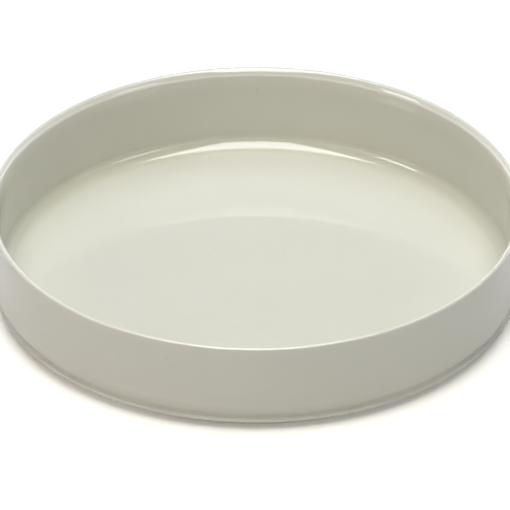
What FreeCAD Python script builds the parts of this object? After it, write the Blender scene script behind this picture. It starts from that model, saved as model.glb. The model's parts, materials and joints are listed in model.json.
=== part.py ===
import FreeCAD, Part
import math
import os

import Sketcher

# Shallow flat-bottomed porcelain evaporating dish with a plain rim and no spout.
# Frame: origin at the centre of the plane that the foot ring stands on, +Z up. Millimetres.
# It is one firing: a white porcelain body, a glaze coat over the inside, rim and outside, and a
# second patch of glaze under the floor. The foot ring between the two coats is bare.

DIMENSIONS = {
    # finished form, measured on the glaze
    "rim_radius": 100.0,
    "height": 37.0,
    "wall": 3.4,
    "floor_top": 3.6,
    "corner_radius": 5.0,
    # lip, from the inner wall upwards: a slow flare, a soft round, a crest, a tight outer edge
    "lip_depth": 7.4,
    "lip_flare_radius": 30.0,
    "lip_round_radius": 5.5,
    "lip_crest_radius": 1.6,
    "rim_edge_radius": 0.7,
    # cove round the bottom of the wall, from its soft upper edge to the ridge below it
    "cove_edge_radius": 10.0,
    "cove_radius": 2.6,
    "neck_radius": 97.85,
    "neck_height": 5.5,
    "ridge_radius": 0.5,
    # ledge under the ridge, in to the root of the foot ring
    "ledge_height": 3.4,
    "foot_root_radius": 0.8,
    # standing ring, glazed down to the glaze line and bare below it
    "foot_radius": 93.5,
    "foot_width": 4.0,
    "foot_edge_radius": 0.35,
    "glaze_line": 1.4,
    # shallow recess inside the ring, under the floor
    "recess_depth": 0.7,
    "recess_corner_radius": 0.5,
    # fired thickness of both glaze coats
    "glaze": 0.3,
}

Z_AXIS = FreeCAD.Vector(0, 0, 1)
START, END, CENTRE = 1, 2, 3
ORIGIN = (-1, 1)

document = FreeCAD.newDocument("evaporating_dish")
sheet = document.addObject("Spreadsheet::Sheet", "dims")
for row, (alias, value) in enumerate(DIMENSIONS.items(), start=1):
    sheet.set(f"A{row}", alias)
    sheet.set(f"B{row}", str(value))
    sheet.setAlias(f"B{row}", alias)
document.recompute()


def point(x, y):
    return FreeCAD.Vector(x, y, 0)


def origin_plane(body, role):
    return next(feature for feature in body.Origin.OriginFeatures if feature.Role == role)


def add_body(name):
    body = document.addObject("PartDesign::Body", name)
    body.Label = name
    return body


def add_sketch(body, name):
    """Empty half section: across is the radius, up is the height."""
    sketch = body.newObject("Sketcher::SketchObject", name)
    sketch.AttachmentSupport = [(origin_plane(body, "XZ_Plane"), "")]
    sketch.MapMode = "FlatFace"
    return sketch


def line(sketch, start, end):
    return sketch.addGeometry(Part.LineSegment(point(*start), point(*end)), False)


def arc(sketch, centre, radius, first, last):
    """Arc from the first to the last angle, in degrees, anticlockwise."""
    circle = Part.Circle(point(*centre), Z_AXIS, radius)
    return sketch.addGeometry(
        Part.ArcOfCircle(circle, math.radians(first), math.radians(last)), False
    )


def fix(sketch, kind, places, expression, value):
    """Dimension bound to the sheet."""
    index = sketch.addConstraint(Sketcher.Constraint(kind, *places, value))
    sketch.setExpression(f"Constraints[{index}]", expression)


def fix_across(sketch, edge, end, expression, value):
    fix(sketch, "DistanceX", (*ORIGIN, edge, end), expression, value)


def fix_up(sketch, edge, end, expression, value):
    fix(sketch, "DistanceY", (*ORIGIN, edge, end), expression, value)


def join(sketch, kind, first, first_end, second, second_end):
    """Coincident or Tangent joint between the ends of two edges."""
    sketch.addConstraint(Sketcher.Constraint(kind, first, first_end, second, second_end))


def corner_angle(near, other, far):
    """Angle of a triangle between the sides near and other, opposite the side far."""
    return math.acos((near**2 + other**2 - far**2) / (2 * near * other))


def draw_skin(sketch, inset):
    """Section from the middle of the floor, over the rim and down to the foot ring's root.

    inset names the depth below the finished surface: nothing for the glaze, its thickness for
    the porcelain. Both sections share their arc centres, so the coat is as thick all over.
    """
    size = DIMENSIONS
    depth = size["glaze"] if inset else 0.0
    less = f" - {inset}" if inset else ""
    more = f" + {inset}" if inset else ""
    rim = size["rim_radius"]
    top = size["height"]
    inner = rim - size["wall"]
    floor = size["floor_top"]
    corner = size["corner_radius"]
    lip_base = top - size["lip_depth"]
    flare = size["lip_flare_radius"]
    lip_round = size["lip_round_radius"]
    crest = size["lip_crest_radius"]
    rim_edge = size["rim_edge_radius"]
    crest_middle = (rim - rim_edge, top - crest)
    cove_edge = size["cove_edge_radius"]
    cove = size["cove_radius"]
    cove_middle = size["neck_radius"] + cove
    neck = size["neck_height"]
    ridge = size["ridge_radius"]
    ledge = size["ledge_height"]
    root = size["foot_root_radius"]
    foot = size["foot_radius"]

    # flare, round and crest touch, so their centres make a triangle with known sides
    to_round = lip_round - crest
    round_to_flare = flare - lip_round
    across = inner + flare - crest_middle[0]
    drop = crest_middle[1] - lip_base
    span = math.hypot(across, drop)
    lean = math.atan2(drop, across)
    crest_lean = lean + corner_angle(to_round, span, round_to_flare)
    flare_lean = lean - corner_angle(round_to_flare, span, to_round)
    round_middle = (
        crest_middle[0] + to_round * math.cos(crest_lean),
        crest_middle[1] - to_round * math.sin(crest_lean),
    )
    crest_turn = 180 - math.degrees(crest_lean)
    flare_turn = 180 - math.degrees(flare_lean)

    # the cove touches the round edge above it and the ridge below it
    edge_middle = rim - cove_edge
    edge_turn = math.acos((cove_middle - edge_middle) / (cove + cove_edge))
    wall_foot = neck + (cove + cove_edge) * math.sin(edge_turn)
    edge_turn = math.degrees(edge_turn)
    ridge_turn = math.asin((neck - ledge - ridge) / (cove + ridge))
    ridge_middle = cove_middle - (cove + ridge) * math.cos(ridge_turn)
    ridge_turn = math.degrees(ridge_turn)

    floor_line = line(sketch, (0, floor - depth), (inner - corner, floor - depth))
    corner_arc = arc(sketch, (inner - corner, floor + corner), corner + depth, 270, 360)
    inner_wall = line(sketch, (inner + depth, floor + corner), (inner + depth, lip_base))
    flare_arc = arc(sketch, (inner + flare, lip_base), flare - depth, flare_turn, 180)
    round_arc = arc(sketch, round_middle, lip_round - depth, crest_turn, flare_turn)
    crest_arc = arc(sketch, crest_middle, crest - depth, 90, crest_turn)
    rim_arc = arc(sketch, (rim - rim_edge, top - rim_edge), rim_edge - depth, 0, 90)
    outer_wall = line(sketch, (rim - depth, top - rim_edge), (rim - depth, wall_foot))
    edge_arc = arc(sketch, (edge_middle, wall_foot), cove_edge - depth, -edge_turn, 0)
    cove_arc = arc(
        sketch, (cove_middle, neck), cove + depth, 180 - edge_turn, 180 + ridge_turn
    )
    ridge_arc = arc(sketch, (ridge_middle, ledge + ridge), ridge - depth, -90, ridge_turn)
    ledge_line = line(sketch, (ridge_middle, ledge + depth), (foot + root, ledge + depth))
    root_arc = arc(sketch, (foot + root, ledge - root), root + depth, 90, 180)

    for edge in (floor_line, ledge_line):
        sketch.addConstraint(Sketcher.Constraint("Horizontal", edge))
    for edge in (inner_wall, outer_wall):
        sketch.addConstraint(Sketcher.Constraint("Vertical", edge))
    join(sketch, "Tangent", floor_line, END, corner_arc, START)
    join(sketch, "Tangent", corner_arc, END, inner_wall, START)
    join(sketch, "Tangent", inner_wall, END, flare_arc, END)
    join(sketch, "Tangent", flare_arc, START, round_arc, END)
    join(sketch, "Tangent", round_arc, START, crest_arc, END)
    join(sketch, "Tangent", crest_arc, START, rim_arc, END)
    join(sketch, "Tangent", rim_arc, START, outer_wall, START)
    join(sketch, "Tangent", outer_wall, END, edge_arc, END)
    join(sketch, "Tangent", edge_arc, START, cove_arc, START)
    join(sketch, "Tangent", cove_arc, END, ridge_arc, END)
    join(sketch, "Tangent", ridge_arc, START, ledge_line, START)
    join(sketch, "Tangent", ledge_line, END, root_arc, START)

    fix_up(sketch, floor_line, START, "dims.floor_top" + less, floor - depth)
    fix(sketch, "Radius", (corner_arc,), "dims.corner_radius" + more, corner + depth)
    fix_across(sketch, inner_wall, END, "dims.rim_radius - dims.wall" + more, inner + depth)
    fix_up(sketch, inner_wall, END, "dims.height - dims.lip_depth", lip_base)
    fix(sketch, "Radius", (flare_arc,), "dims.lip_flare_radius" + less, flare - depth)
    fix(sketch, "Radius", (round_arc,), "dims.lip_round_radius" + less, lip_round - depth)
    fix(sketch, "Radius", (crest_arc,), "dims.lip_crest_radius" + less, crest - depth)
    fix_across(sketch, crest_arc, START, "dims.rim_radius - dims.rim_edge_radius", rim - rim_edge)
    fix_up(sketch, crest_arc, START, "dims.height" + less, top - depth)
    fix(sketch, "Radius", (rim_arc,), "dims.rim_edge_radius" + less, rim_edge - depth)
    fix_across(sketch, outer_wall, START, "dims.rim_radius" + less, rim - depth)
    fix(sketch, "Radius", (edge_arc,), "dims.cove_edge_radius" + less, cove_edge - depth)
    fix(sketch, "Radius", (cove_arc,), "dims.cove_radius" + more, cove + depth)
    fix_across(sketch, cove_arc, CENTRE, "dims.neck_radius + dims.cove_radius", cove_middle)
    fix_up(sketch, cove_arc, CENTRE, "dims.neck_height", neck)
    fix(sketch, "Radius", (ridge_arc,), "dims.ridge_radius" + less, ridge - depth)
    fix_up(sketch, ledge_line, START, "dims.ledge_height" + more, ledge + depth)
    fix(sketch, "Radius", (root_arc,), "dims.foot_root_radius" + more, root + depth)
    fix_across(sketch, root_arc, END, "dims.foot_radius" + less, foot - depth)
    fix_up(sketch, root_arc, END, "dims.ledge_height - dims.foot_root_radius", ledge - root)
    return floor_line, root_arc


def close_section(sketch, floor_line, root_arc, corners, levels):
    """Straight edges through the corners, from the foot ring's root back to the floor's middle.

    levels names the edges that lie level; the others are upright.
    """
    last = len(corners) - 1
    edges = [line(sketch, corners[index], corners[index + 1]) for index in range(last)]
    for index, edge in enumerate(edges):
        direction = "Horizontal" if index in levels else "Vertical"
        sketch.addConstraint(Sketcher.Constraint(direction, edge))
    join(sketch, "Coincident", root_arc, END, edges[0], START)
    for first, second in zip(edges, edges[1:]):
        join(sketch, "Coincident", first, END, second, START)
    join(sketch, "Coincident", edges[-1], END, floor_line, START)
    sketch.addConstraint(Sketcher.Constraint("PointOnObject", floor_line, START, -2))
    return edges


def close_on_foot(sketch, floor_line, root_arc):
    """Foot ring, recess and underside of the porcelain."""
    size = DIMENSIONS
    glaze = size["glaze"]
    outer = size["foot_radius"] - glaze
    inner = outer - size["foot_width"]
    root = size["ledge_height"] - size["foot_root_radius"]
    under = size["recess_depth"] + glaze
    corners = (
        (outer, root),
        (outer, 0),
        (inner, 0),
        (inner, under),
        (0, under),
        (0, size["floor_top"] - glaze),
    )
    edges = close_section(sketch, floor_line, root_arc, corners, levels=(1, 3))
    standing_face, inner_side, underside = edges[1:4]
    sketch.addConstraint(Sketcher.Constraint("PointOnObject", standing_face, END, -1))
    foot_inside = "dims.foot_radius - dims.glaze - dims.foot_width"
    fix_across(sketch, inner_side, START, foot_inside, inner)
    fix_up(sketch, underside, START, "dims.recess_depth + dims.glaze", under)


def close_at_glaze_line(sketch, floor_line, root_arc):
    """Down to the glaze line, then level with it to the axis, inside the porcelain."""
    size = DIMENSIONS
    foot = size["foot_radius"]
    root = size["ledge_height"] - size["foot_root_radius"]
    end = size["glaze_line"]
    corners = ((foot, root), (foot, end), (0, end), (0, size["floor_top"]))
    edges = close_section(sketch, floor_line, root_arc, corners, levels=(1,))
    fix_up(sketch, edges[1], START, "dims.glaze_line", end)


def revolve(body, sketch, name):
    turned = body.newObject("PartDesign::Revolution", name)
    turned.Profile = sketch
    turned.ReferenceAxis = (sketch, ["V_Axis"])
    turned.Angle = 360
    body.Tip = turned
    document.recompute()
    return turned


def ring_edge(shape, radius, height):
    """Name of the circular edge at this radius and height."""
    for number, edge in enumerate(shape.Edges, start=1):
        if not isinstance(edge.Curve, Part.Circle):
            continue
        same_height = math.isclose(edge.Curve.Center.z, height, abs_tol=1e-4)
        if same_height and math.isclose(edge.Curve.Radius, radius, abs_tol=1e-4):
            return f"Edge{number}"
    raise ValueError(f"no ring edge at radius {radius}, height {height}")


def round_rings(body, base, name, alias, rings):
    """Fillet on ring edges, each given as its radius and height."""
    fillet = body.newObject("PartDesign::Fillet", name)
    fillet.Base = (base, [ring_edge(base.Shape, radius, height) for radius, height in rings])
    fillet.Radius = DIMENSIONS[alias]
    fillet.setExpression("Radius", f"dims.{alias}")
    body.Tip = fillet
    document.recompute()
    return fillet


def make_porcelain_body():
    """Turned porcelain: floor, wall and lip, standing on its own foot ring."""
    body = add_body("porcelain_body")
    sketch = add_sketch(body, "porcelain_section")
    close_on_foot(sketch, *draw_skin(sketch, "dims.glaze"))
    turned = revolve(body, sketch, "porcelain_turned")
    size = DIMENSIONS
    outer = size["foot_radius"] - size["glaze"]
    inner = outer - size["foot_width"]
    under = size["recess_depth"] + size["glaze"]
    edges = round_rings(body, turned, "foot_edges", "foot_edge_radius", [(outer, 0), (inner, 0)])
    round_rings(body, edges, "recess_corner", "recess_corner_radius", [(inner, under)])
    return body


def make_glaze_coat(porcelain):
    """Unbroken coat over the inside, rim and outside, ending on the foot ring's outer side."""
    form = add_body("finished_form")
    sketch = add_sketch(form, "finished_section")
    close_at_glaze_line(sketch, *draw_skin(sketch, ""))
    revolve(form, sketch, "finished_turned")
    coat = document.addObject("Part::Cut", "glaze_coat")
    coat.Label = "glaze_coat"
    coat.Base = form
    coat.Tool = porcelain
    document.recompute()
    return coat


def make_underside_glaze(porcelain):
    """Glaze in the recess under the floor, out to the foot ring's inner side."""
    fill = document.addObject("Part::Cylinder", "recess_fill")
    fill.setExpression("Radius", "dims.foot_radius - dims.glaze - dims.foot_width")
    fill.setExpression("Height", "2 * dims.glaze")
    fill.setExpression(".Placement.Base.z", "dims.recess_depth")
    patch = document.addObject("Part::Cut", "underside_glaze")
    patch.Label = "underside_glaze"
    patch.Base = fill
    patch.Tool = porcelain
    document.recompute()
    return patch


def check(parts):
    """Stop before writing anything if a feature failed or a part is not one good solid."""
    for item in document.Objects:
        if {"Invalid", "Error"} & set(item.State):
            raise RuntimeError(f"{item.Label} failed: {item.State}")
        if item.TypeId == "Sketcher::SketchObject" and not item.FullyConstrained:
            raise RuntimeError(f"{item.Label} is not fully constrained")
    for part in parts:
        shape = part.Shape
        if shape.isNull() or not shape.isValid() or len(shape.Solids) != 1:
            raise RuntimeError(f"{part.Label} is not one valid solid")


porcelain_body = make_porcelain_body()
glaze_coat = make_glaze_coat(porcelain_body)
underside_glaze = make_underside_glaze(porcelain_body)

nodes = (porcelain_body, glaze_coat, underside_glaze)
check(nodes)
os.makedirs("parts", exist_ok=True)
for node in nodes:
    node.Shape.exportStep(f"parts/{node.Label}.step")
    print(f"{node.Label}: {node.Shape.Volume:.0f} mm3, {node.Shape.optimalBoundingBox()}")
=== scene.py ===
import json
import math

import bpy
import numpy as np
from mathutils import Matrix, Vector, noise


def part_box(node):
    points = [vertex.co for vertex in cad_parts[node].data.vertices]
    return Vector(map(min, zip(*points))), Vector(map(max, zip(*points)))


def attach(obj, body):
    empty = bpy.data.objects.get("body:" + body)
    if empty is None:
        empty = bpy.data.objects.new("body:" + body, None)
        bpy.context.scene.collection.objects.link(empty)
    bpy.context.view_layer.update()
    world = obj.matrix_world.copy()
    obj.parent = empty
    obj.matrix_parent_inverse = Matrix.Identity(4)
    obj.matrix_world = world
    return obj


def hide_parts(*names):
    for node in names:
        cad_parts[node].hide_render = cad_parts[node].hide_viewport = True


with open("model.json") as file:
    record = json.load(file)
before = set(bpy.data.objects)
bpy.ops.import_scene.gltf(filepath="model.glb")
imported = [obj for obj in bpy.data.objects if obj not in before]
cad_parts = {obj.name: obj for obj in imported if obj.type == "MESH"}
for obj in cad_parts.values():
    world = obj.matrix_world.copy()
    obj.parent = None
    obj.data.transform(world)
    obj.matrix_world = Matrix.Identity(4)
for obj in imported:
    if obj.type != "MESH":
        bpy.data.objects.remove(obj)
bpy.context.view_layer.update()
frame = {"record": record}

# The looks of the porcelain dish: three turned pieces that replace the CAD solids, their
# ceramic materials, a plain table, studio lights and the camera. Lengths are in metres.

MM = 0.001

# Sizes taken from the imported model.
coat_low, coat_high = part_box("glaze_coat")
under_low, under_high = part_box("underside_glaze")
mounts = {m["name"]: m["pos_m"] for m in frame["record"]["mounts"]}
RIM_R = coat_high.x
HEIGHT = coat_high.z
GLAZE_LINE = coat_low.z
FLOOR_TOP = mounts["inner_floor"][2]
FOOT_MIDDLE = mounts["foot_ring"][0]
RECESS_TOP = under_high.z
RECESS_SHOWN = under_low.z
GLAZE = under_high.z - under_low.z

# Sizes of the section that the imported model's boxes don't give.
WALL = 3.4 * MM
CORNER_R = 5.0 * MM
LIP_DEPTH = 7.4 * MM
FLARE_R = 30.0 * MM
LIP_ROUND_R = 5.5 * MM
CREST_R = 1.6 * MM
RIM_EDGE_R = 0.7 * MM
SHOULDER_R = 10.0 * MM
COVE_R = 2.6 * MM
NECK_R = 97.85 * MM
NECK_HEIGHT = 5.5 * MM
RIDGE_R = 0.5 * MM
LEDGE = 3.4 * MM
ROOT_R = 0.8 * MM
FOOT_WIDTH = 4.0 * MM
FOOT_EDGE_R = 0.35 * MM
RECESS_CORNER_R = 0.5 * MM
MENISCUS_R = 0.25 * MM
FOOT_BARE_R = FOOT_MIDDLE + FOOT_WIDTH / 2
FOOT_INSIDE_R = FOOT_MIDDLE - FOOT_WIDTH / 2

# How finely the turned pieces are divided.
SEGMENTS = 400
STEP_ON_RUN = 1.5 * MM
STEP_ON_ARC = 0.2 * MM

# How far firing moved the shape: the rim isn't quite round or level, and the glaze ripples.
OVAL = 0.05 * MM
RIM_DIP = 0.04 * MM
RIPPLE = 0.022 * MM
RIPPLE_LENGTH = 26 * MM
DIMPLE = 0.004 * MM
DIMPLE_LENGTH = 7 * MM
DIMPLE_SHIFT = Vector((7, 3, 5))
OVAL_TURN = 0.6
DIP_TURN = 1.1

# How hollowness is measured: the radius that counts as tight, and how far glaze pools.
TIGHT_R = 4 * MM
POOL_SPREAD = 1.3 * MM


# --- Section curves: points (radius, height), in the order in which a surface is followed ---


def arc(centre, radius, start, stop):
    """Points on an arc from angle start to angle stop, in degrees."""
    steps = max(4, math.ceil(math.radians(abs(stop - start)) * radius / STEP_ON_ARC))
    angles = np.radians(np.linspace(start, stop, steps + 1))
    return [(centre[0] + radius * math.cos(a), centre[1] + radius * math.sin(a)) for a in angles]


def chain(*curves):
    """Curves joined end to end by straight runs, without repeated points."""
    points = list(curves[0])
    for curve in curves[1:]:
        start, stop = np.array(points[-1]), np.array(curve[0])
        steps = math.ceil(math.dist(start, stop) / STEP_ON_RUN - 1e-6)
        points += [tuple(start + (stop - start) * i / steps) for i in range(1, steps)]
        points += curve if math.dist(start, stop) > 1e-8 else curve[1:]
    return points


def corner_angle(near, other, far):
    """Angle of a triangle between the sides near and other, opposite the side far."""
    return math.acos((near**2 + other**2 - far**2) / (2 * near * other))


def skin(inset):
    """The section from the middle of the inside floor, over the rim and down to the foot.

    inset is how deep the curve lies under the finished surface. Every arc keeps its centre.
    """
    inside = RIM_R - WALL
    crest_at = (RIM_R - RIM_EDGE_R, HEIGHT - CREST_R)
    flare_at = (inside + FLARE_R, HEIGHT - LIP_DEPTH)
    to_round, round_to_flare = LIP_ROUND_R - CREST_R, FLARE_R - LIP_ROUND_R
    span = math.dist(crest_at, flare_at)
    lean = math.atan2(crest_at[1] - flare_at[1], flare_at[0] - crest_at[0])
    crest_lean = lean + corner_angle(to_round, span, round_to_flare)
    flare_lean = lean - corner_angle(round_to_flare, span, to_round)
    round_at = (
        crest_at[0] + to_round * math.cos(crest_lean),
        crest_at[1] - to_round * math.sin(crest_lean),
    )
    crest_turn, flare_turn = 180 - math.degrees(crest_lean), 180 - math.degrees(flare_lean)
    shoulder_at = RIM_R - SHOULDER_R
    cove_at = NECK_R + COVE_R
    shoulder_turn = math.acos((cove_at - shoulder_at) / (COVE_R + SHOULDER_R))
    shoulder_height = NECK_HEIGHT + (COVE_R + SHOULDER_R) * math.sin(shoulder_turn)
    shoulder_turn = math.degrees(shoulder_turn)
    ridge_turn = math.asin((NECK_HEIGHT - LEDGE - RIDGE_R) / (COVE_R + RIDGE_R))
    ridge_at = cove_at - (COVE_R + RIDGE_R) * math.cos(ridge_turn)
    ridge_turn = math.degrees(ridge_turn)
    foot = FOOT_BARE_R + GLAZE
    return chain(
        [(0.0, FLOOR_TOP - inset)],
        arc((inside - CORNER_R, FLOOR_TOP + CORNER_R), CORNER_R + inset, -90, 0),
        arc(flare_at, FLARE_R - inset, 180, flare_turn),
        arc(round_at, LIP_ROUND_R - inset, flare_turn, crest_turn),
        arc(crest_at, CREST_R - inset, crest_turn, 90),
        arc((RIM_R - RIM_EDGE_R, HEIGHT - RIM_EDGE_R), RIM_EDGE_R - inset, 90, 0),
        arc((shoulder_at, shoulder_height), SHOULDER_R - inset, 0, -shoulder_turn),
        arc((cove_at, NECK_HEIGHT), COVE_R + inset, 180 - shoulder_turn, 180 + ridge_turn),
        arc((ridge_at, LEDGE + RIDGE_R), RIDGE_R - inset, ridge_turn, -90),
        arc((foot + ROOT_R, LEDGE - ROOT_R), ROOT_R + inset, 90, 180),
    )


def coat_section():
    """The glaze coat's closed section: its shown side, a rounded end, and its hidden side."""
    bead = GLAZE / 2
    end = arc((FOOT_BARE_R + bead, GLAZE_LINE + bead), bead, 0, -180)
    shown = chain(skin(0), end)
    return chain(shown, skin(GLAZE)[::-1]), len(shown) - len(end) // 2


def body_section():
    """The porcelain's closed section: under the glaze, round the bare foot and the recess."""
    hidden = skin(GLAZE)
    side = [(FOOT_BARE_R, GLAZE_LINE + GLAZE / 2)]
    bare = chain(
        side,
        arc((FOOT_BARE_R - FOOT_EDGE_R, FOOT_EDGE_R), FOOT_EDGE_R, 0, -90),
        arc((FOOT_INSIDE_R + FOOT_EDGE_R, FOOT_EDGE_R), FOOT_EDGE_R, -90, -180),
    )
    corner = (FOOT_INSIDE_R - RECESS_CORNER_R, RECESS_TOP - RECESS_CORNER_R)
    recess = chain(arc(corner, RECESS_CORNER_R, 0, 90), [(0.0, RECESS_TOP)])
    return chain(hidden, bare, recess), 0


def underside_section():
    """The recess glaze's closed section: its shown face curls down where it meets the foot."""
    curl_at = (FOOT_INSIDE_R - MENISCUS_R, RECESS_SHOWN - MENISCUS_R)
    shown = chain([(0.0, RECESS_SHOWN)], arc(curl_at, MENISCUS_R, 90, 0))[::-1]
    corner = (FOOT_INSIDE_R - RECESS_CORNER_R, RECESS_TOP - RECESS_CORNER_R)
    hidden = chain([(0.0, RECESS_TOP)], arc(corner, RECESS_CORNER_R, 90, 0))
    return chain(hidden, shown), 0


# --- Surfaces ---


def outward(section):
    """Unit normals of a section, on the side away from the solid."""
    along = np.gradient(section, axis=0)
    normals = np.stack([-along[:, 1], along[:, 0]], axis=1)
    return normals / np.linalg.norm(normals, axis=1)[:, None]


def hollowness(section):
    """How hollow the surface is near each point: 1 in a tight cove, -1 round a sharp edge.

    Liquid glaze gathers in hollows and draws back from edges before it sets.
    """
    along = np.gradient(section, axis=0)
    length = np.linalg.norm(along, axis=1)
    direction = np.unwrap(np.arctan2(along[:, 1], along[:, 0]))
    bend = np.clip(np.gradient(direction) / length * TIGHT_R, -1, 1)
    place = np.concatenate([[0], np.cumsum(np.linalg.norm(np.diff(section, axis=0), axis=1))])
    apart = (place[:, None] - place[None, :]) / POOL_SPREAD
    weights = np.exp(-(apart**2)) * length[None, :]
    return (weights @ bend) / weights.sum(axis=1)


def ripples(points):
    """How far the glaze stands proud of an even coat at each point: never above 0."""
    waves = [noise.noise(Vector(p) / RIPPLE_LENGTH) for p in points]
    dimples = [noise.noise(Vector(p) / DIMPLE_LENGTH + DIMPLE_SHIFT) for p in points]
    return RIPPLE * (np.array(waves) - 1) / 2 + DIMPLE * (np.array(dimples) - 1) / 2


def fired(points):
    """The slight oval and the uneven rim height that firing leaves, always inwards."""
    angle = np.arctan2(points[:, 1], points[:, 0])
    rise = points[:, 2] / HEIGHT
    squeeze = 1 - rise * OVAL / RIM_R * (1 + np.cos(2 * (angle - OVAL_TURN)))
    dip = rise**2 * RIM_DIP * (1 + np.cos(3 * angle + DIP_TURN)) / 2
    return np.column_stack([points[:, 0] * squeeze, points[:, 1] * squeeze, points[:, 2] - dip])


def turned(name, sectioned, material):
    """A closed mesh of revolution. Its first points, up to the count given, are shown glaze."""
    section, shown = sectioned
    section = np.array(section)
    normals = outward(section)
    hollow = hollowness(section)
    turns = np.arange(SEGMENTS) * 2 * math.pi / SEGMENTS
    ring = np.column_stack([np.cos(turns), np.sin(turns)])
    vertices, depths, starts = [], [], []
    for i, (radius, height) in enumerate(section):
        starts.append(len(vertices))
        on_axis = radius < 1e-9
        across = ring[:1] * 0 if on_axis else ring
        points = np.column_stack([across * radius, np.full(len(across), height)])
        if i < shown:
            lift = ripples(points)
            out = np.column_stack([across * normals[i, 0], np.full(len(across), normals[i, 1])])
            points = points + out * lift[:, None]
        vertices += [tuple(p) for p in fired(points)]
        depths += [hollow[i]] * len(points)
    faces = []
    for i in range(len(section) - 1):
        low = ring_of(starts, i, len(vertices))
        high = ring_of(starts, i + 1, len(vertices))
        for j in range(SEGMENTS):
            k = (j + 1) % SEGMENTS
            quad = [low[j % len(low)], high[j % len(high)], high[k % len(high)], low[k % len(low)]]
            faces.append(tuple(dict.fromkeys(quad)))
    mesh = bpy.data.meshes.new(name)
    mesh.from_pydata(vertices, [], faces)
    mesh.validate()
    mesh.shade_smooth()
    depth = mesh.attributes.new("hollow", "FLOAT", "POINT")
    depth.data.foreach_set("value", np.array(depths, np.float32))
    mesh.materials.append(material)
    piece = bpy.data.objects.new(name, mesh)
    bpy.context.scene.collection.objects.link(piece)
    return piece


def ring_of(starts, i, total):
    """The numbers of the vertices on ring i."""
    stop = starts[i + 1] if i + 1 < len(starts) else total
    return range(starts[i], stop)


# --- Materials ---

GLAZE_IOR = 1.54
BODY_IOR = 1.5
IRON_COLOUR = (0.20, 0.15, 0.09, 1)
PALE_COLOUR = (0.72, 0.71, 0.66, 1)
TOAST_COLOUR = (0.52, 0.37, 0.22, 1)
TOAST_HEIGHT = 0.9 * MM
SCUFF_COLOUR = (0.34, 0.33, 0.31, 1)
KILN_COLOUR = (0.16, 0.12, 0.08, 1)


class Pattern:
    """A material whose colour, roughness and relief come from nodes in the dish's own frame."""

    def __init__(self, name):
        self.material = bpy.data.materials.new(name)
        self.material.use_nodes = True
        self.tree = self.material.node_tree
        self.shader = self.tree.nodes["Principled BSDF"]
        self.place = self.tree.nodes.new("ShaderNodeTexCoord").outputs["Object"]

    def node(self, kind, settings=None, **inputs):
        """A new node. An input is a plain value or another node's output."""
        made = self.tree.nodes.new("ShaderNode" + kind)
        for key, value in (settings or {}).items():
            setattr(made, key, value)
        for key, value in inputs.items():
            self.feed(made.inputs[key.replace("_", " ")], value)
        return made

    def feed(self, socket, value):
        if isinstance(value, bpy.types.NodeSocket):
            self.tree.links.new(value, socket)
        else:
            socket.default_value = value

    def mottle(self, length, detail=3.0, rough=0.5):
        """Smooth noise from 0 to 1 whose patches are about length across."""
        made = self.node(
            "TexNoise", Vector=self.place, Scale=1 / length, Detail=detail, Roughness=rough
        )
        return made.outputs["Fac"]

    def spots(self, spacing, size, share):
        """1 inside small round spots, 0 outside. share is how many of the cells have one."""
        cells = self.node("TexVoronoi", Vector=self.place, Scale=1 / spacing)
        chosen = self.math("LESS_THAN", self.red(cells.outputs["Color"]), share)
        edge = size / spacing
        near = self.span(cells.outputs["Distance"], edge, edge * 0.55, 0.0, 1.0)
        return self.math("MULTIPLY", near, chosen)

    def red(self, colour):
        return self.node("SeparateColor", Color=colour).outputs["Red"]

    def math(self, operation, a, b):
        made = self.node("Math", {"operation": operation})
        self.feed(made.inputs[0], a)
        self.feed(made.inputs[1], b)
        return made.outputs[0]

    def span(self, value, low, high, to_low, to_high):
        """value carried from low..high to to_low..to_high, held at the ends."""
        made = self.node(
            "MapRange", Value=value, From_Min=low, From_Max=high, To_Min=to_low, To_Max=to_high
        )
        return made.outputs["Result"]

    def ramp(self, value, stops):
        """A colour from value, through stops of (position, colour)."""
        made = self.node("ValToRGB", Fac=value)
        line = made.color_ramp.elements
        while len(line) < len(stops):
            line.new(1.0)
        for element, (position, colour) in zip(line, stops):
            element.position = position
            element.color = (*colour, 1.0)
        return made.outputs["Color"]

    def mix(self, share, a, b, blend="MIX"):
        made = self.node("Mix", {"data_type": "RGBA", "blend_type": blend})
        self.feed(made.inputs[0], share)
        self.feed(made.inputs[6], a)
        self.feed(made.inputs[7], b)
        return made.outputs[2]

    def relief(self, height, depth, under=None):
        """Bump whose full height is depth."""
        made = self.node("Bump", Height=height, Distance=depth, Strength=1.0)
        if under is not None:
            self.feed(made.inputs["Normal"], under)
        return made.outputs["Normal"]

    def finish(self, colour, roughness, normal):
        self.feed(self.shader.inputs["Base Color"], colour)
        self.feed(self.shader.inputs["Roughness"], roughness)
        self.feed(self.shader.inputs["Normal"], normal)
        return self.material


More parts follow.
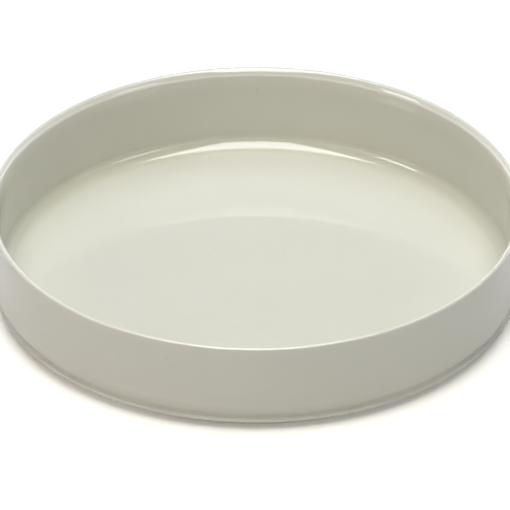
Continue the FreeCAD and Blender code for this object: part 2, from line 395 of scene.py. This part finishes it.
def glaze_material():
    """Clear glossy glaze over off-white porcelain."""
    p = Pattern("glossy_glaze")
    depth = p.node("Attribute", {"attribute_name": "hollow"}).outputs["Fac"]
    broad = p.mottle(34 * MM, 2.0)
    small = p.mottle(5 * MM, 4.0, 0.6)
    depth = p.math("ADD", depth, p.span(broad, 0.3, 0.7, -0.14, 0.14))
    depth = p.math("ADD", depth, p.span(small, 0.3, 0.7, -0.07, 0.07))
    colour = p.ramp(
        p.span(depth, -1.0, 1.0, 0.0, 1.0),
        [
            (0.0, (0.614, 0.608, 0.540)),
            (0.36, (0.600, 0.592, 0.525)),
            (0.5, (0.585, 0.583, 0.508)),
            (0.72, (0.572, 0.572, 0.488)),
            (1.0, (0.545, 0.552, 0.455)),
        ],
    )
    iron = p.spots(9 * MM, 0.26 * MM, 0.5)
    colour = p.mix(p.math("MULTIPLY", iron, 0.55), colour, IRON_COLOUR)
    pale = p.spots(13 * MM, 0.5 * MM, 0.5)
    colour = p.mix(p.math("MULTIPLY", pale, 0.35), colour, PALE_COLOUR)
    pits = p.spots(7 * MM, 0.2 * MM, 0.6)
    haze = p.mottle(19 * MM, 5.0, 0.6)
    roughness = p.span(haze, 0.35, 0.7, 0.03, 0.075)
    roughness = p.math("ADD", roughness, p.math("MULTIPLY", pits, 0.3))
    peel = p.relief(p.mottle(2.6 * MM, 2.0), 0.006 * MM)
    pitted = p.relief(p.math("SUBTRACT", 1.0, pits), 0.03 * MM, peel)
    p.shader.inputs["IOR"].default_value = GLAZE_IOR
    return p.finish(colour, roughness, pitted)


def bare_material():
    """Unglazed fired porcelain: fine and matt, toasted where it meets the glaze."""
    p = Pattern("bare_porcelain")
    height = p.node("SeparateXYZ", Vector=p.place).outputs["Z"]
    grain = p.mottle(0.35 * MM, 4.0, 0.65)
    cloud = p.mottle(11 * MM, 4.0, 0.6)
    colour = p.ramp(
        p.math("ADD", p.span(grain, 0.3, 0.7, 0.0, 0.5), p.span(cloud, 0.3, 0.7, 0.0, 0.5)),
        [
            (0.0, (0.62, 0.60, 0.52)),
            (0.5, (0.70, 0.68, 0.60)),
            (1.0, (0.76, 0.74, 0.67)),
        ],
    )
    toast = p.span(height, GLAZE_LINE - TOAST_HEIGHT, GLAZE_LINE, 0.0, 0.55)
    toast = p.math("MULTIPLY", toast, p.span(cloud, 0.3, 0.65, 0.35, 1.0))
    colour = p.mix(toast, colour, TOAST_COLOUR)
    scuff = p.math("MULTIPLY", p.mottle(1.7 * MM, 6.0, 0.75), p.mottle(23 * MM, 2.0))
    colour = p.mix(p.span(scuff, 0.24, 0.42, 0.0, 0.35), colour, SCUFF_COLOUR)
    kiln = p.spots(2.4 * MM, 0.16 * MM, 0.4)
    colour = p.mix(p.math("MULTIPLY", kiln, 0.7), colour, KILN_COLOUR)
    roughness = p.span(grain, 0.3, 0.7, 0.58, 0.82)
    rough = p.relief(grain, 0.02 * MM)
    p.shader.inputs["IOR"].default_value = BODY_IOR
    return p.finish(colour, roughness, rough)


glaze = glaze_material()
bare = bare_material()

coat = turned("glaze_skin", coat_section(), glaze)
body = turned("porcelain_core", body_section(), bare)
underside = turned("recess_glaze", underside_section(), glaze)
for piece, node, slot in (
    (coat, "glaze_coat", "glaze"),
    (body, "porcelain_body", "bare_porcelain"),
    (underside, "underside_glaze", "glaze"),
):
    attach(piece, "root")
    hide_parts(node)

# --- Table, lights and camera ---

TABLE_HALF = 12.0
TABLE_DROP = 0.01 * MM
TABLE_CLOUD = 0.4
TABLE_SEEN = 1.0
# The seen table's glow is painted light that lifts its shadows; its warm tint is painted bounce light
# from the dish.
TABLE_GLOW = 0.20
TABLE_PAINTED_BOUNCE_TINT = (1.0, 0.985, 0.90, 1)
TABLE_BOUNCE = 0.8

# The lamps' colours, and how far they hang: the shining ones a hair nearer than the others.
WHITE = (1.0, 1.0, 1.0)
WARM = (1.0, 0.962, 0.90)
COOL = (0.76, 0.85, 1.0)
ROSY = (1.0, 0.86, 0.78)
BRIGHT = (0.94, 0.97, 1.0)
LIGHT_REACH = 0.9
SHINE_REACH = 0.89

# The world's strength overhead and at the horizon, and where on the way up it has faded.
ZENITH = 0.05
HORIZON = 3.6
HORIZON_TOP = 0.5

CAMERA_DISTANCE = 60 * RIM_R
CAMERA_ELEVATION = math.radians(32.40)
CAMERA_TILT = math.radians(32.31)
CAMERA_ASIDE = -0.0038 * RIM_R
CAMERA_BASE = 4.0 * MM
CAMERA_LENS = 1126.8
CAMERA_SENSOR = 36.0
CAMERA_FAR = 100.0


def table_material(name, white, glow):
    """Plain pale table top, a little uneven.

    white is how much light it gives back, and glow is painted light that it gives of its own: it
    lifts the shadows seen on the table, and its warm tint is painted bounce light from the dish.
    """
    p = Pattern(name)
    cloud = p.mottle(TABLE_CLOUD, 2.0)
    shade = p.span(cloud, 0.3, 0.7, white * 0.98, white)
    matt = p.node("BsdfDiffuse", Color=shade)
    # Painted light: an even glow that lifts the table's shadows, tinted like light bounced off the
    # dish.
    lit = p.node("Emission", Color=TABLE_PAINTED_BOUNCE_TINT, Strength=glow)
    both = p.node("AddShader")
    p.tree.links.new(matt.outputs["BSDF"], both.inputs[0])
    p.tree.links.new(lit.outputs["Emission"], both.inputs[1])
    p.tree.links.new(both.outputs["Shader"], p.tree.nodes["Material Output"].inputs["Surface"])
    return p.material


def table_plane(name, white, glow, drop):
    """A flat square sheet a hair below the foot ring."""
    half = TABLE_HALF
    corners = [(-half, -half, -drop), (half, -half, -drop), (half, half, -drop), (-half, half, -drop)]
    mesh = bpy.data.meshes.new(name)
    mesh.from_pydata(corners, [], [(0, 1, 2, 3)])
    mesh.materials.append(table_material(name, white, glow))
    plane = bpy.data.objects.new(name, mesh)
    bpy.context.scene.collection.objects.link(plane)
    return plane


# The table is seen overexposed, as a white ground, but lights the dish as a pale matt one.
seen = table_plane("table_seen", TABLE_SEEN, TABLE_GLOW, TABLE_DROP)
seen.visible_diffuse = False
seen.visible_glossy = False
seen.visible_shadow = False
bounce = table_plane("table_bounce", TABLE_BOUNCE, 0.0, 2 * TABLE_DROP)
bounce.visible_camera = False


def facing(turn, rise, distance):
    """A place round the dish: turn in degrees forward from the side (+ right, - left)."""
    side = math.copysign(1, turn)
    forward, up = math.radians(abs(turn)), math.radians(rise)
    level = math.cos(up) * distance
    height = math.sin(up) * distance
    return Vector((side * math.cos(forward) * level, -math.sin(forward) * level, height))


def softbox(name, place, size, radiance, colour=WHITE, level=False, shines=False):
    """A rectangular lamp that faces the dish, or hangs level.

    A lamp that shines shows only in reflections; any other lights only what is matt. The two
    kinds never lie in one plane, where one would hide the other.
    """
    lamp = bpy.data.lights.new(name, "AREA")
    lamp.shape = "RECTANGLE"
    lamp.size, lamp.size_y = size
    lamp.color = colour
    lamp.energy = radiance * math.pi * size[0] * size[1]
    box = bpy.data.objects.new(name, lamp)
    bpy.context.scene.collection.objects.link(box)
    box.location = place
    if not level:
        box.rotation_mode = "QUATERNION"
        box.rotation_quaternion = (-Vector(place)).to_track_quat("-Z", "Y")
    box.visible_camera = False
    box.visible_diffuse = not shines
    box.visible_glossy = shines


front, back = (0.0, -0.31, LIGHT_REACH), (0.0, 0.5, LIGHT_REACH)
softbox("front_light", front, (0.92, 0.95), 3.75, WARM, level=True)
softbox("back_light", back, (0.92, 0.75), 3.6, COOL, level=True)
softbox("left_light", facing(-22, 26, LIGHT_REACH), (0.36, 0.26), 3.9, ROSY)
softbox("right_light", facing(35, 24, LIGHT_REACH), (0.30, 0.20), 1.5)
overhead = (-0.012, -0.42, SHINE_REACH)
softbox("front_shine", overhead, (0.61, 1.42), 8.5, BRIGHT, level=True, shines=True)
softbox("left_shine", facing(-22, 24, SHINE_REACH), (0.28, 0.2), 8.0, shines=True)
softbox("right_shine", facing(35, 24, SHINE_REACH), (0.30, 0.18), 4.0, shines=True)


def studio_world():
    """Light that shows only in reflections: a bright band at the horizon that fades upwards."""
    world = bpy.data.worlds.new("studio")
    world.use_nodes = True
    world.cycles_visibility.diffuse = False
    nodes, links = world.node_tree.nodes, world.node_tree.links
    split = nodes.new("ShaderNodeSeparateXYZ")
    links.new(nodes.new("ShaderNodeTexCoord").outputs["Generated"], split.inputs["Vector"])
    band = nodes.new("ShaderNodeMapRange")
    band.interpolation_type = "SMOOTHSTEP"
    band.inputs["From Min"].default_value = HORIZON_TOP
    band.inputs["From Max"].default_value = 0.0
    band.inputs["To Min"].default_value = ZENITH
    band.inputs["To Max"].default_value = HORIZON
    links.new(split.outputs["Z"], band.inputs["Value"])
    background = nodes["Background"]
    background.inputs["Color"].default_value = (*WHITE, 1.0)
    links.new(band.outputs["Result"], background.inputs["Strength"])
    return world


bpy.context.scene.world = studio_world()
bpy.context.scene.view_settings.view_transform = "Standard"

camera = bpy.data.objects.new("camera", bpy.data.cameras.new("camera"))
bpy.context.scene.collection.objects.link(camera)
camera.data.sensor_width = CAMERA_SENSOR
camera.data.lens = CAMERA_LENS
camera.data.clip_end = CAMERA_FAR
camera.location = (
    CAMERA_ASIDE,
    -CAMERA_DISTANCE * math.cos(CAMERA_ELEVATION),
    CAMERA_DISTANCE * math.sin(CAMERA_ELEVATION) + CAMERA_BASE,
)
camera.rotation_euler = (math.pi / 2 - CAMERA_TILT, 0, 0)
bpy.context.scene.camera = camera
